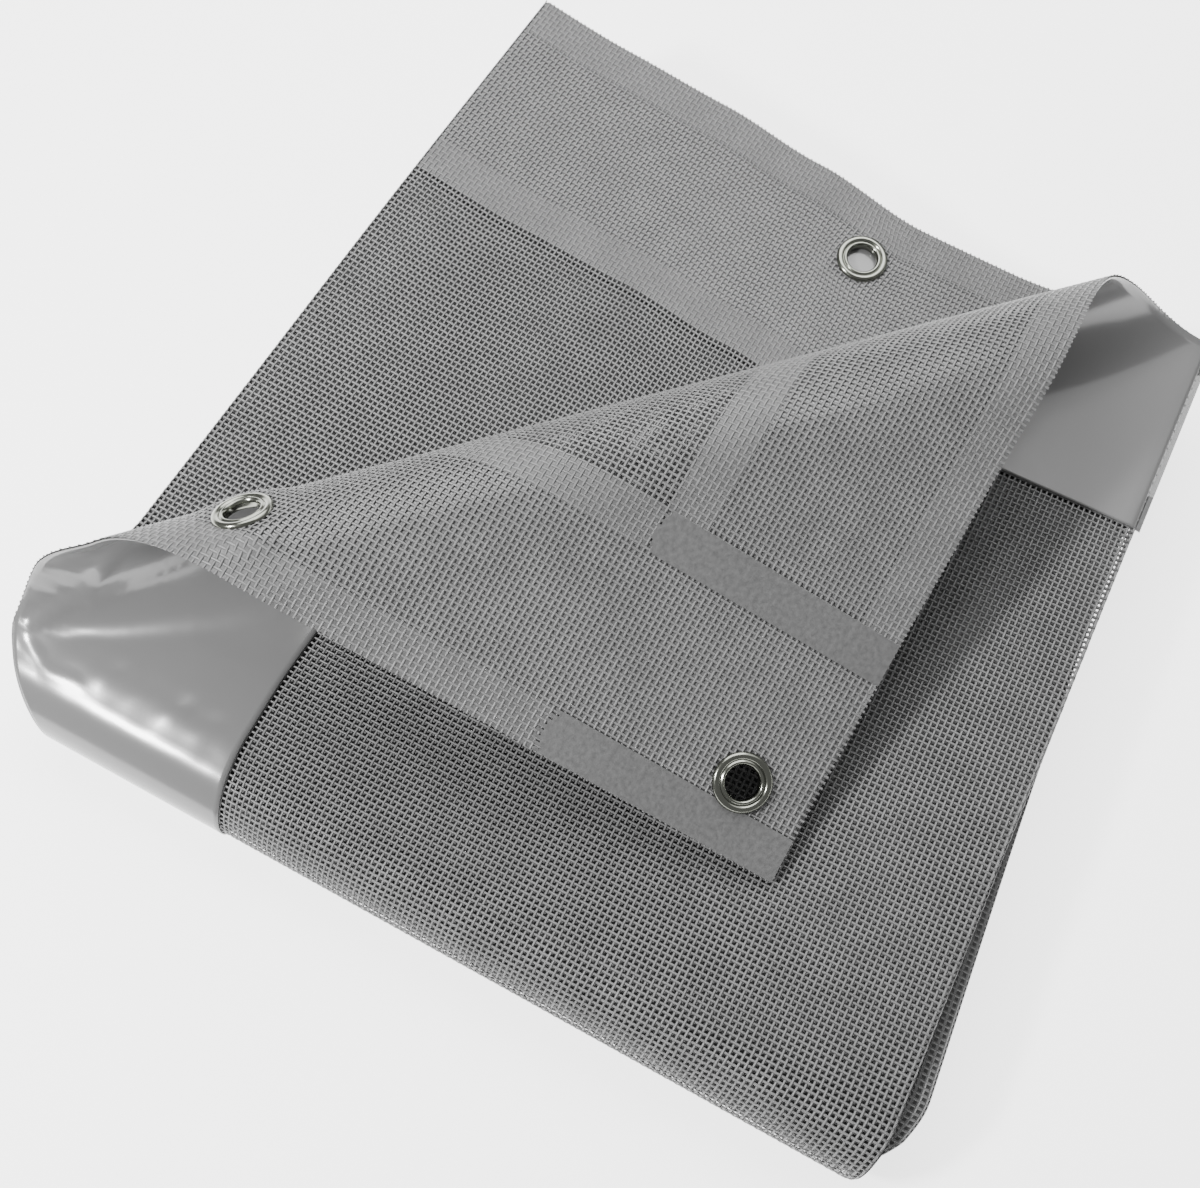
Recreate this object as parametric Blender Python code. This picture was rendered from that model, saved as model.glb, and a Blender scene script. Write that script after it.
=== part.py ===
"""Folded privacy screen net: one long mesh panel with smooth border strips and eyelets.

The panel is folded back and forth into seven plies, the stack is folded once in half over
the front, and the top ply's back left corner is turned over in a wide soft roll.
A point of the panel is named by u, from the left end, and v, from the top edge, in mm.
"""

import math

import bpy
import numpy as np
from mathutils import Vector
from mathutils.geometry import delaunay_2d_cdt

# Driving dimensions, in millimetres
NET_HEIGHT = 900.0
MESH_THICK = 1.2
STRIP_THICK = 0.9
STRIP_WIDTH = 121.0
PIECE_GAP = 0.3

# The stack: where its edges lie, and how far its plies are apart
LEFT_EDGE_X = -231.0
BACK_EDGE_Y = 274.5
FRONT_Y = -182.6
PLAIN_PITCH = 2.4
STRIP_PITCH = 4.4
INNER_RADIUS = 3.2

# One row for each ply, from the top: where it ends in plan at the front and at the back,
# and its share of the lift that the stack has towards its back left corner
PLIES = (
    {"far_front": 219.0, "far_back": 219.0, "lift": 0.0},
    {"far_front": -215.0, "far_back": -190.0, "lift": 1.0},
    {"far_front": 224.0, "far_back": 221.0, "lift": 0.78},
    {"far_front": -211.0, "far_back": -192.0, "lift": 0.74},
    {"far_front": 221.0, "far_back": 222.0, "lift": 0.50},
    {"far_front": -214.0, "far_back": -200.0, "lift": 0.46},
    {"far_front": 212.0, "far_back": 212.0, "lift": 0.22},
)
LIFT_HEIGHT = 46.0
LIFT_START = 30.0
LIFT_REACH = 323.0
LIFT_POWER = 1.6

# How the left ends of the plies wander sideways towards and round the front turn, by the
# distance from the back edge, counted on the outermost ply
EDGE_WAVE = (
    {"back": 345.0, "shift": 0.0},
    {"back": 392.0, "shift": -17.0},
    {"back": 432.0, "shift": 2.0},
    {"back": 466.0, "shift": 26.0},
    {"back": 507.0, "shift": 14.0},
)
EDGE_WAVE_REACH = 210.0
INNER_SHARE = 0.5

# The turned-over corner: where its roll starts, counted from the corner, and its section
ROLL_START = 331.0
ROLL_RADIUS_LEFT = 44.0
ROLL_RADIUS_RIGHT = 40.0
FLAP_SLOPE = math.radians(30.2)
FLAP_RADIUS = 984.0
RIGHT_EASE = {"start": 380.0, "width": 60.0, "share": 0.35}
FRONT_EASE = {"start": 350.0, "width": 60.0, "share": 0.47}

# Eyelets: one row each, with its place on the panel
EYELETS = (
    {"name": "eyelet_corner", "u": 32.5, "v": 32.5},
    {"name": "eyelet_side", "u": 32.5, "v": 280.5},
    {"name": "eyelet_top", "u": 650.0, "v": 34.0},
)
EYELET_SIDES = 24
EYELET_HOLE = 6.3
CLOTH_HOLE = 7.5
FLAT_ROUND_EYELET = 15.0
EASED_ROUND_EYELET = 30.0
EYELET_RINGS = (
    {"radius": CLOTH_HOLE, "sides": 20},
    {"radius": FLAT_ROUND_EYELET, "sides": 14},
    {"radius": 22.0, "sides": 16},
    {"radius": 29.0, "sides": 16},
)

# The frame's origin, under the middle of the folded net
FRAME_ORIGIN = (-8.7, 56.5, -49.0)

MM = 0.001
HALF_MESH = MESH_THICK / 2
STRIP_NEAR = HALF_MESH + PIECE_GAP
STRIP_FAR = STRIP_NEAR + STRIP_THICK


def pitch_below(ply):
    """The plies' spacing: wider where the border strips face each other."""
    return STRIP_PITCH if ply % 2 else PLAIN_PITCH


DEPTHS = [-sum(pitch_below(k) for k in range(ply)) for ply in range(len(PLIES))]
OUTER_RADIUS = INNER_RADIUS - DEPTHS[-1]
TURN_Y = FRONT_Y + OUTER_RADIUS
TURN_START = BACK_EDGE_Y - TURN_Y


def section_lengths():
    """The panel's u where each ply's straight part starts and ends."""
    spans = []
    u = 0.0
    near_x = LEFT_EDGE_X
    for k, ply in enumerate(PLIES):
        way = -1 if k % 2 else 1
        last = k == len(PLIES) - 1
        radius = 0.0 if last else pitch_below(k) / 2
        end_x = ply["far_front"] - way * radius
        length = way * (end_x - near_x)
        spans.append((u, u + length))
        u += length + math.pi * radius
        near_x = end_x
    return spans


SPANS = section_lengths()
NET_LENGTH = SPANS[-1][1]


def ramp(x, ease):
    """Zero up to the start, then bending softly into a straight rise."""
    over = np.clip(x - ease["start"], 0.0, None)
    width = ease["width"]
    return ease["share"] * np.where(over < width, over**2 / (2 * width), over - width / 2)


def beyond_roll(along, back):
    """Distance past the line where the roll starts, from two distances from the corner."""
    plain = ROLL_START - (along + back) / math.sqrt(2)
    return plain - ramp(along, RIGHT_EASE) - ramp(back, FRONT_EASE)


def lift(x, y):
    """How far the stack stands up towards its back left corner, at a place in plan."""
    past = beyond_roll(x - LEFT_EDGE_X, BACK_EDGE_Y - y) - LIFT_START
    return LIFT_HEIGHT * (np.clip(past, 0.0, None) / (LIFT_REACH - LIFT_START)) ** LIFT_POWER


def edge_wave(back, depth):
    """Sideways shift of the left end, eased from one row of the table to the next."""
    radius = OUTER_RADIUS + depth
    turned = np.clip(back - TURN_START, 0.0, math.pi * radius) * OUTER_RADIUS / radius
    place = np.minimum(back, TURN_START) + turned
    shift = np.zeros_like(back)
    for row, following in zip(EDGE_WAVE, EDGE_WAVE[1:]):
        share = np.clip((place - row["back"]) / (following["back"] - row["back"]), 0.0, 1.0)
        shift += (following["shift"] - row["shift"]) * share**2 * (3 - 2 * share)
    return shift * (INNER_SHARE + (1 - INNER_SHARE) * radius / OUTER_RADIUS)


def roll_section(past, radius):
    """Reach and height of the turned-over corner, at a distance past the roll's start."""
    arc = radius * (math.pi + FLAP_SLOPE)
    angle = np.minimum(past, arc) / radius
    reach = radius * np.sin(angle)
    height = radius * (1 - np.cos(angle))
    run = np.clip(past - arc, 0.0, None)
    slope = FLAP_SLOPE - run / FLAP_RADIUS
    reach += FLAP_RADIUS * (np.sin(slope) - math.sin(FLAP_SLOPE))
    height += FLAP_RADIUS * (math.cos(FLAP_SLOPE) - np.cos(slope))
    return reach, height


def top_ply_point(u, v):
    """Place of a point of the top ply, which lies flat and ends in the rolled corner."""
    past = np.clip(beyond_roll(u, v), 0.0, None)
    side = np.clip(0.5 + (v - u) / (2 * math.sqrt(2) * ROLL_START), 0.0, 1.0)
    radius = ROLL_RADIUS_RIGHT + (ROLL_RADIUS_LEFT - ROLL_RADIUS_RIGHT) * side
    reach, height = roll_section(past, radius)
    shift = (past - reach) / math.sqrt(2)
    fade = np.clip(1 - u / EDGE_WAVE_REACH, 0.0, 1.0) ** 2
    return LEFT_EDGE_X + u + shift + edge_wave(v, 0.0) * fade, v + shift, height


def ply_depth(u):
    """Depth below the top ply, when the stack lies flat."""
    depth = np.zeros_like(u)
    for k, (start, end) in enumerate(SPANS):
        depth = np.where(u >= start, DEPTHS[k], depth)
        if k < len(SPANS) - 1:
            loop = pitch_below(k) / 2
            turn = np.clip((u - end) / loop, 0.0, math.pi)
            depth = np.where(u > end, DEPTHS[k] - loop * (1 - np.cos(turn)), depth)
    return depth


def ply_point(u, v):
    """Place in the back-and-forth section: x, distance from the back edge, depth and lift share."""
    x = np.zeros_like(u)
    depth = ply_depth(u)
    share = np.zeros_like(u)
    toward_back = np.clip(1 - v / TURN_START, 0.0, 1.0)
    near_x = np.full_like(u, LEFT_EDGE_X)
    for k, ply in enumerate(PLIES):
        start, end = SPANS[k]
        way = -1 if k % 2 else 1
        last = k == len(PLIES) - 1
        far_x = ply["far_front"] + (ply["far_back"] - ply["far_front"]) * toward_back
        if way < 0:
            far_x = far_x + edge_wave(v, depth)
        drop = 0.0 if last else ply["lift"] - PLIES[k + 1]["lift"]
        loop = 0.0 if last else pitch_below(k) / 2
        wide = loop + np.clip(drop, 0.0, None) * lift(far_x, BACK_EDGE_Y - v) / 2
        end_x = far_x - way * (0.0 if last else wide)
        on_ply = (u >= start) & ((u <= end) | last)
        x = np.where(on_ply, near_x + (end_x - near_x) * (u - start) / (end - start), x)
        share = np.where(on_ply, ply["lift"], share)
        if last:
            break
        on_fold = (u > end) & (u < SPANS[k + 1][0])
        turn = (u - end) / loop
        next_share = PLIES[k + 1]["lift"]
        x = np.where(on_fold, end_x + way * wide * np.sin(turn), x)
        mixed = ply["lift"] + (next_share - ply["lift"]) * (1 - np.cos(turn)) / 2
        share = np.where(on_fold, mixed, share)
        near_x = end_x
    return x, v, depth, share


def fold_in_half(x, back, depth):
    """Carries a flat stack's point over the front turn: back is measured along the ply."""
    radius = OUTER_RADIUS + depth
    turn = np.clip((back - TURN_START) / radius, 0.0, math.pi)
    past = np.clip(back - TURN_START - math.pi * radius, 0.0, None)
    on_top = back < TURN_START
    y = np.where(on_top, BACK_EDGE_Y - back, TURN_Y - radius * np.sin(turn) + past)
    z = np.where(on_top, depth, -OUTER_RADIUS + radius * np.cos(turn))
    return np.stack([x, y, z], axis=-1)


def smooth_point(u, v):
    """Place of the panel's middle surface, before it is flattened round its eyelets."""
    x, back, depth, share = ply_point(u, v)
    place = fold_in_half(x, back, depth)
    on_top = np.where(back < TURN_START, share, 0.0)
    place[..., 2] += on_top * lift(place[..., 0], place[..., 1])
    top_x, top_back, top_height = top_ply_point(u, v)
    rolled = fold_in_half(top_x, top_back, np.zeros_like(u))
    rolled[..., 2] += top_height
    on_top_ply = (u <= SPANS[0][1])[..., None]
    return np.where(on_top_ply, rolled, place)


def frame_at(point_of, u, v, step=0.05):
    """Point, the two directions along the panel and the normal of its plain face."""
    along = point_of(u + step, v) - point_of(u - step, v)
    down = point_of(u, v + step) - point_of(u, v - step)
    along /= np.linalg.norm(along, axis=-1, keepdims=True)
    normal = np.cross(along, down)
    normal /= np.linalg.norm(normal, axis=-1, keepdims=True)
    return point_of(u, v), along, np.cross(normal, along), normal


def panel_point(u, v):
    """Place of the panel's middle surface, flat where an eyelet clamps it."""
    place = smooth_point(u, v)
    for row in EYELETS:
        centre_u, centre_v = np.array([row["u"]]), np.array([row["v"]])
        middle, along, down, _ = frame_at(smooth_point, centre_u, centre_v)
        du, dv = u - row["u"], v - row["v"]
        flat = middle[0] + du[..., None] * along[0] + dv[..., None] * down[0]
        away = np.hypot(du, dv) - FLAT_ROUND_EYELET
        share = np.clip(1 - away / (EASED_ROUND_EYELET - FLAT_ROUND_EYELET), 0.0, 1.0)
        share = (share**2 * (3 - 2 * share))[..., None]
        place = place * (1 - share) + flat * share
    return place


def in_frame(points):
    """Millimetres round the stack to metres in the part's frame."""
    return (points - np.array(FRAME_ORIGIN)) * MM


TURN_STEPS = 8
LOOP_STEPS = 6
BACK_ROWS = (0.0, 60.0, STRIP_WIDTH, 190.0, 255.0, 310.0, 350.0, 392.0, TURN_START)
PLY_STEPS = 6
ROLL_STEPS = 13
FLAP_STEPS = 3


def columns():
    """Every u at which the folded section has a corner, with the ply's depth there."""
    found = [(0.0, 0.0)]
    for k, (start, end) in enumerate(SPANS):
        steps = PLY_STEPS if k else 1
        found += [(start + (end - start) * i / steps, DEPTHS[k]) for i in range(1, steps + 1)]
        if k == len(SPANS) - 1:
            break
        loop = pitch_below(k) / 2
        for i in range(1, LOOP_STEPS + 1):
            turn = math.pi * i / LOOP_STEPS
            found.append((end + loop * turn, DEPTHS[k] - loop * (1 - math.cos(turn))))
    return found


def rows_at(depth):
    """Every v at which a ply at this depth has a corner, from the top edge to the bottom."""
    arc = math.pi * (OUTER_RADIUS + depth)
    turn = [TURN_START + arc * i / TURN_STEPS for i in range(1, TURN_STEPS + 1)]
    return list(BACK_ROWS) + turn + [NET_HEIGHT - STRIP_WIDTH, NET_HEIGHT]


def crease_lines():
    """Segments on the flat panel along which it bends."""
    grid = [(u, rows_at(depth)) for u, depth in columns()]
    lines = []
    for u, rows in grid[1:-1]:
        lines.append(((u, 0.0), (u, NET_HEIGHT)))
    for (u, rows), (next_u, next_rows) in zip(grid, grid[1:]):
        for j, (v, next_v) in enumerate(zip(rows, next_rows)):
            if u >= SPANS[0][1] - 1 or j >= len(BACK_ROWS) - 1:
                lines.append(((u, v), (next_u, next_v)))
    return lines + roll_lines()


def roll_lines():
    """Segments across the top ply, parallel to its roll."""
    arc = ROLL_RADIUS_LEFT * (math.pi + FLAP_SLOPE)
    steps = [arc * i / ROLL_STEPS for i in range(ROLL_STEPS + 1)]
    steps += [arc + (ROLL_START - arc) * i / FLAP_STEPS for i in range(1, FLAP_STEPS)]
    lines = []
    for past in steps:
        total = (ROLL_START - past) * math.sqrt(2)
        ends = []
        for i in range(9):
            v = TURN_START * i / 8
            u = total - v
            ends.append((u, v))
        lines += list(zip(ends, ends[1:]))
    right = SPANS[0][1]
    kept = []
    for a, b in lines:
        piece = clip_segment(a, b, (0.0, right, 0.0, TURN_START))
        if piece:
            kept.append(piece)
    return kept


def clip_segment(a, b, box):
    """The part of a segment inside a box (u0, u1, v0, v1), or None."""
    low, high = 0.0, 1.0
    for i, (near, far) in enumerate(((box[0], box[1]), (box[2], box[3]))):
        run = b[i] - a[i]
        if abs(run) < 1e-9:
            if a[i] < near or a[i] > far:
                return None
            continue
        first, second = sorted(((near - a[i]) / run, (far - a[i]) / run))
        low, high = max(low, first), min(high, second)
    if high - low < 1e-6:
        return None
    return tuple(tuple(a[i] + (b[i] - a[i]) * s for i in (0, 1)) for s in (low, high))


def ring(row, radius, sides):
    """Points of a circle round an eyelet, on the flat panel."""
    turns = [2 * math.pi * i / sides for i in range(sides)]
    return [(row["u"] + radius * math.cos(t), row["v"] + radius * math.sin(t)) for t in turns]


def border_lines():
    """Segments along the inner edges of the border strips."""
    inner_u = STRIP_WIDTH + PIECE_GAP
    far_u = NET_LENGTH - STRIP_WIDTH
    lines = [((u, 0.0), (u, NET_HEIGHT)) for u in (STRIP_WIDTH, inner_u, far_u - PIECE_GAP, far_u)]
    return lines + [((0.0, v), (NET_LENGTH, v)) for v in (STRIP_WIDTH, NET_HEIGHT - STRIP_WIDTH)]


def flat_panel():
    """Triangles of the flat panel, cut along its creases, its borders and its eyelet holes."""
    points = [(0.0, 0.0), (NET_LENGTH, 0.0), (NET_LENGTH, NET_HEIGHT), (0.0, NET_HEIGHT)]
    edges = [(0, 1), (1, 2), (2, 3), (3, 0)]
    for a, b in crease_lines() + border_lines():
        edges.append((len(points), len(points) + 1))
        points += (a, b)
    for row in EYELETS:
        for line in EYELET_RINGS:
            start = len(points)
            sides = line["sides"]
            points += ring(row, line["radius"], sides)
            edges += [(start + i, start + (i + 1) % sides) for i in range(sides)]
    result = delaunay_2d_cdt([Vector(p) for p in points], edges, [], 0, 1e-4)
    flat = np.array([tuple(p) for p in result[0]])
    kept = []
    for face in result[2]:
        a, b, c = (flat[i] for i in face)
        if abs((b[0] - a[0]) * (c[1] - a[1]) - (b[1] - a[1]) * (c[0] - a[0])) < 1e-5:
            continue
        middle = (a + b + c) / 3
        away = [math.hypot(middle[0] - row["u"], middle[1] - row["v"]) for row in EYELETS]
        if min(away) > CLOTH_HOLE:
            kept.append(tuple(face))
    return flat, kept


def sheet_object(name, panel, box, plain_off, strip_off, material):
    """A sheet between two distances from the panel's middle, over a rectangle of it."""
    flat, faces = panel
    u0, u1, v0, v1 = box
    middles = np.array([flat[list(face)].mean(axis=0) for face in faces])
    inside = (middles[:, 0] > u0) & (middles[:, 0] < u1) & (middles[:, 1] > v0) & (middles[:, 1] < v1)
    faces = [face for face, is_in in zip(faces, inside) if is_in]
    used = sorted({i for face in faces for i in face})
    place_of = {old: new for new, old in enumerate(used)}
    faces = [tuple(place_of[i] for i in face) for face in faces]
    flat = flat[used]
    place, _, _, normal = frame_at(panel_point, flat[:, 0], flat[:, 1])
    plain = in_frame(place + normal * plain_off)
    strip = in_frame(place + normal * strip_off)
    count = len(flat)
    solid = list(faces)
    solid += [tuple(i + count for i in reversed(face)) for face in faces]
    sides = {}
    for face in faces:
        for a, b in zip(face, face[1:] + face[:1]):
            if (b, a) in sides:
                del sides[(b, a)]
            else:
                sides[(a, b)] = True
    for a, b in sides:
        solid.append((b, a, a + count))
        solid.append((b, a + count, b + count))
    mesh = bpy.data.meshes.new(name)
    mesh.from_pydata([tuple(p) for p in np.concatenate([plain, strip])], [], solid)
    mesh.shade_smooth()
    mesh.set_sharp_from_angle(angle=math.radians(50))
    mesh.materials.append(material)
    obj = bpy.data.objects.new(name, mesh)
    bpy.context.scene.collection.objects.link(obj)
    return obj


def eyelet_profile():
    """Section of an eyelet as radius and height: the cloth lies in the groove of a spool."""
    face = HALF_MESH + PIECE_GAP
    back = -STRIP_FAR - PIECE_GAP
    neck = EYELET_HOLE + 0.7
    return (
        (EYELET_HOLE, back - 0.9),
        (EYELET_HOLE, face + 1.1),
        (EYELET_HOLE + 0.5, face + 1.7),
        (EYELET_HOLE + 1.8, face + 1.9),
        (EYELET_HOLE + 4.2, face + 1.5),
        (EYELET_HOLE + 6.6, face + 0.7),
        (EYELET_HOLE + 7.2, face),
        (neck, face),
        (neck, back),
        (EYELET_HOLE + 6.9, back),
        (EYELET_HOLE + 6.5, back - 0.7),
        (EYELET_HOLE + 1.0, back - 1.2),
    )


def eyelet_object(row, material):
    """A turned eyelet, clamped on the panel at its place."""
    middle, along, down, normal = frame_at(panel_point, np.array([row["u"]]), np.array([row["v"]]))
    profile = eyelet_profile()
    points = []
    for i in range(EYELET_SIDES):
        turn = 2 * math.pi * i / EYELET_SIDES
        out = along[0] * math.cos(turn) + down[0] * math.sin(turn)
        points += [middle[0] + out * radius + normal[0] * height for radius, height in profile]
    faces = []
    size = len(profile)
    for i in range(EYELET_SIDES):
        here, there = i * size, (i + 1) % EYELET_SIDES * size
        for j in range(size):
            k = (j + 1) % size
            faces.append((here + j, here + k, there + k, there + j))
    mesh = bpy.data.meshes.new(row["name"])
    mesh.from_pydata([tuple(p) for p in in_frame(np.array(points))], [], faces)
    mesh.shade_smooth()
    mesh.set_sharp_from_angle(angle=math.radians(40))
    mesh.materials.append(material)
    obj = bpy.data.objects.new(row["name"], mesh)
    bpy.context.scene.collection.objects.link(obj)
    return obj


def surface(name, colour, roughness, metallic):
    """A plain Principled material."""
    material = bpy.data.materials.new(name)
    material.use_nodes = True
    shader = material.node_tree.nodes["Principled BSDF"]
    shader.inputs["Base Color"].default_value = (*colour, 1.0)
    shader.inputs["Roughness"].default_value = roughness
    shader.inputs["Metallic"].default_value = metallic
    return material


def main():
    for obj in list(bpy.data.objects):
        bpy.data.objects.remove(obj)
    coated_mesh = surface("PVC-coated mesh", (0.20, 0.20, 0.20), 0.55, 0.0)
    smooth_pvc = surface("Smooth PVC strip", (0.36, 0.36, 0.36), 0.22, 0.0)
    nickel = surface("Nickel-plated steel", (0.55, 0.55, 0.52), 0.25, 1.0)

    panel = flat_panel()
    whole = (0.0, NET_LENGTH, 0.0, NET_HEIGHT)
    sheet_object("net_mesh", panel, whole, HALF_MESH, -HALF_MESH, coated_mesh)
    inner_u = STRIP_WIDTH + PIECE_GAP
    far_u = NET_LENGTH - STRIP_WIDTH
    strips = {
        "strip_left": (0.0, STRIP_WIDTH, 0.0, NET_HEIGHT),
        "strip_top": (inner_u, far_u - PIECE_GAP, 0.0, STRIP_WIDTH),
        "strip_bottom": (inner_u, far_u - PIECE_GAP, NET_HEIGHT - STRIP_WIDTH, NET_HEIGHT),
        "strip_right": (far_u, NET_LENGTH, 0.0, NET_HEIGHT),
    }
    for name, box in strips.items():
        sheet_object(name, panel, box, -STRIP_NEAR, -STRIP_FAR, smooth_pvc)
    for row in EYELETS:
        eyelet_object(row, nickel)


main()
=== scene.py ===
"""Folded privacy screen net, dressed over its solids.

The net is one long panel: woven mesh, smooth border strips welded to one of its faces, and
eyelets. A point of the panel is named by u, from the left end, and v, from the top edge, in mm.
The fold that shapes the solids carries every piece here, with the ends of some plies and the
lower leg of the fold moved a little to match the photo.
"""

import math

import bpy
import numpy as np
from mathutils import Matrix, Vector


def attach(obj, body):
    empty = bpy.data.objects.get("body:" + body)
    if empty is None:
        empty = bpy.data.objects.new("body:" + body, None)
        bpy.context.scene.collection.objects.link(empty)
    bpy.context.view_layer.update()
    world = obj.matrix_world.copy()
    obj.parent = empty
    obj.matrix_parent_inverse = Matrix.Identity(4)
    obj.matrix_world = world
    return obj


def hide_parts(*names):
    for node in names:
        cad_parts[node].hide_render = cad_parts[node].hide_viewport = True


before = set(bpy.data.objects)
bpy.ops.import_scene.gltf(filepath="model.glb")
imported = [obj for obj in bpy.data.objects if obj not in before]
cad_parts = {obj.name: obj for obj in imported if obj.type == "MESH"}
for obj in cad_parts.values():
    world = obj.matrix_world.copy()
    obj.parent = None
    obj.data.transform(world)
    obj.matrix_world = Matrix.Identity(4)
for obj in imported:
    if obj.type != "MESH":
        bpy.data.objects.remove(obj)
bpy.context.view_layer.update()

# The net and its fold, in millimetres. Each ply has the x of its far end at the front and at
# the back, how far that end bows between them, and its share of the raised corner's height
NET_HEIGHT = 900.0
STRIP_WIDTH = 121.0
LEFT_EDGE_X = -231.0
BACK_EDGE_Y = 274.5
FRONT_Y = -182.6
PLAIN_PITCH = 2.4
STRIP_PITCH = 4.4
INNER_RADIUS = 3.2
PLIES = (
    {"far_front": 221.0, "far_back": 210.0, "bow": 0.0, "lift": 0.0},
    {"far_front": -226.0, "far_back": -186.0, "bow": -4.0, "lift": 1.0},
    {"far_front": 232.0, "far_back": 213.0, "bow": -4.5, "lift": 0.97},
    {"far_front": -216.0, "far_back": -189.0, "bow": -3.0, "lift": 0.70},
    {"far_front": 228.0, "far_back": 214.0, "bow": -4.5, "lift": 0.67},
    {"far_front": -214.0, "far_back": -197.0, "bow": 0.0, "lift": 0.40},
    {"far_front": 146.0, "far_back": 146.0, "bow": 0.0, "lift": 0.37},
)
# The lower plies' back edge strays from straight by these shifts, at these places along x
BACK_SWAY = (
    {"x": -215.0, "shift": 13.0},
    {"x": -130.0, "shift": 9.0},
    {"x": -70.0, "shift": 7.5},
    {"x": -10.0, "shift": 2.0},
    {"x": 58.0, "shift": -7.0},
    {"x": 110.0, "shift": -7.0},
    {"x": 190.0, "shift": 0.0},
)
SWAY_REACH = {"full": 130.0, "none": 340.0}
# The lower leg of the fold lies further in than the upper one, at its back and at its right
LOWER_LEG_TUCK = {"length": 460.0, "shift": 24.0, "side": 13.0, "side_power": 1.3, "turn_side": 9.0}
FRONT_CORNER = {"first_ply": 2, "x": 219.0, "reach": 48.0}
FRONT_DROOP = {"length": 110.0, "share": 0.12, "tuck": 2.2}
# The stack stands up towards its back left corner
LIFT_HEIGHT = 46.0
LIFT_START = 30.0
LIFT_REACH = 323.0
LIFT_POWER = 1.6
# The left end swings in and out as it goes round the front turn
EDGE_WAVE = (
    {"back": 345.0, "shift": 0.0},
    {"back": 388.0, "shift": -12.0},
    {"back": 414.0, "shift": -12.0},
    {"back": 474.0, "shift": 24.0},
    {"back": 507.0, "shift": 14.0},
)
EDGE_WAVE_REACH = 210.0
INNER_SHARE = 0.5
# The turned-over corner: a roll, then a flap that slopes down and flattens out
ROLL_START = 331.0
ROLL_RADIUS_LEFT = 44.0
ROLL_RADIUS_RIGHT = 40.0
FLAP_SLOPE = math.radians(30.2)
FLAP_RADIUS = 984.0
RIGHT_EASE = {"start": 380.0, "width": 60.0, "share": 0.35}
FRONT_EASE = {"start": 350.0, "width": 60.0, "share": 0.47}
EYELETS = (
    {"name": "eyelet_corner", "u": 32.5, "v": 32.5},
    {"name": "eyelet_side", "u": 32.5, "v": 280.5},
    {"name": "eyelet_top", "u": 650.0, "v": 34.0},
)
FLAT_ROUND_EYELET = 15.0
EASED_ROUND_EYELET = 30.0
FRAME_ORIGIN = (-8.7, 56.5, -49.0)
MM = 0.001

# The weave: nine threads to the inch, of coated yarn pressed a little flat
WEAVE_PITCH = 2.82
YARN_WIDTH = 1.24
YARN_THICK = 0.56
CRIMP = 0.2
EDGE_STUB = 0.4
WAVER = 0.45
TOP_PLY_PARTS = {"count": 3, "rows": 60}
SECOND_PLY_PARTS = {"count": 2, "rows": 76}

# Heights over the middle of the weave, towards the plain face; the strips lie on the other
STRIP_MIDDLE = -0.95
STRIP_THICK = 0.8
WELD_PRESSED = 0.47
WELD_TEXTURED = -0.05
WELD_WIDTH = 21.0

# Creases of the left strip, as points of the panel that each runs through
CREASES = (
    {"route": ((17, 350), (24, 374), (24, 389), (16, 402), (7, 417)), "rise": 1.1, "width": 2.4},
    {"route": ((52, 346), (41, 365), (36, 379), (27, 392)), "rise": 0.9, "width": 2.2},
    {"route": ((5, 420), (19, 432), (37, 430)), "rise": 0.6, "width": 3.0},
)
TURN_BULGE = {"back": 421.0, "rise": 1.0, "width": 10.0}
BULGE_WAVES = {"share": 0.2, "broad": 6.5, "start": 0.8, "fine": 2.9, "skew": 7.0}
PUCKERS = {"u": 12.0, "v": 396.0, "reach_u": 12.0, "reach_v": 22.0, "rise": 0.2, "pitch": 1.3}
PUCKER_STRAY = {"share": 0.5, "length": 4.0}
CREASE_FADE = {"past_strip": 8.0, "width": 16.0}
FLAP_WAVES = {"rise": 0.9, "start": 120.0, "width": 60.0}
FLAP_ALONG = {"length": 21.0, "stray": 1.3, "stray_length": 37.0, "stray_start": 0.0}
FLAP_DOWN = {"length": 26.0, "stray": 0.9, "stray_length": 45.0, "stray_start": 1.0}

# Grids that carry the cloth, and the holes, bands and ends that are cut in them
EDGE_INSET = 0.3
GUIDE_STEP = 3.0
GUIDE_MARGIN = 2.0
LEAST_STEP = 0.5
WOVEN_LAP = 1.0
SECOND_PLY_ENDS = {"lead": 4.0, "run_on": 6.0}
GRID_STEPS = {"strip": 3.0, "top": 5.0, "second": 6.0, "inner": 9.0, "turn": 2.2}
TURN_MARGIN = {"before": 60.0, "after": 4.0}
POINTS_ROUND_FOLD = 9
SECOND_PLY_BACK = 420.0
UNDER_ROLL = {"woven": -12.0, "films": -8.0}
HOLE_RADIUS = 10.4
EYELET_CLEAR = 12.5
BAND_EDGES = (WELD_WIDTH, STRIP_WIDTH - WELD_WIDTH, STRIP_WIDTH)
BAND_STEPS = {"corner": 1.4, "edges": 3.0, "second": 4.0}
BAR_END = {"reach": 3.0, "ragged": 1.6, "turns": 2.3, "shoulder": 10.0, "rounding": 0.03}
EYELET_SIDES = 72
EYELET_SHARP = math.radians(50)

# Finishes: colours, where along a noise two tones lie, and the weld's grain in turns per metre
PVC_IOR = 1.53
TONE_STOPS = (0.3, 0.7)
YARN_TONES = ("#707070", "#7c7c7c")
WELD_TONES = ("#555555", "#666666")
WELD_GRAIN = 354.6
STRIP_COLOUR = "#6e6e6e"
INNER_YARN_COLOUR = "#707070"
# painted shade: the inner plies' holes are coloured dark in place of the shadowed plies seen through them
INNER_HOLE_SHADE = "#262626"
NICKEL_COLOUR = "#85877f"

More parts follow.
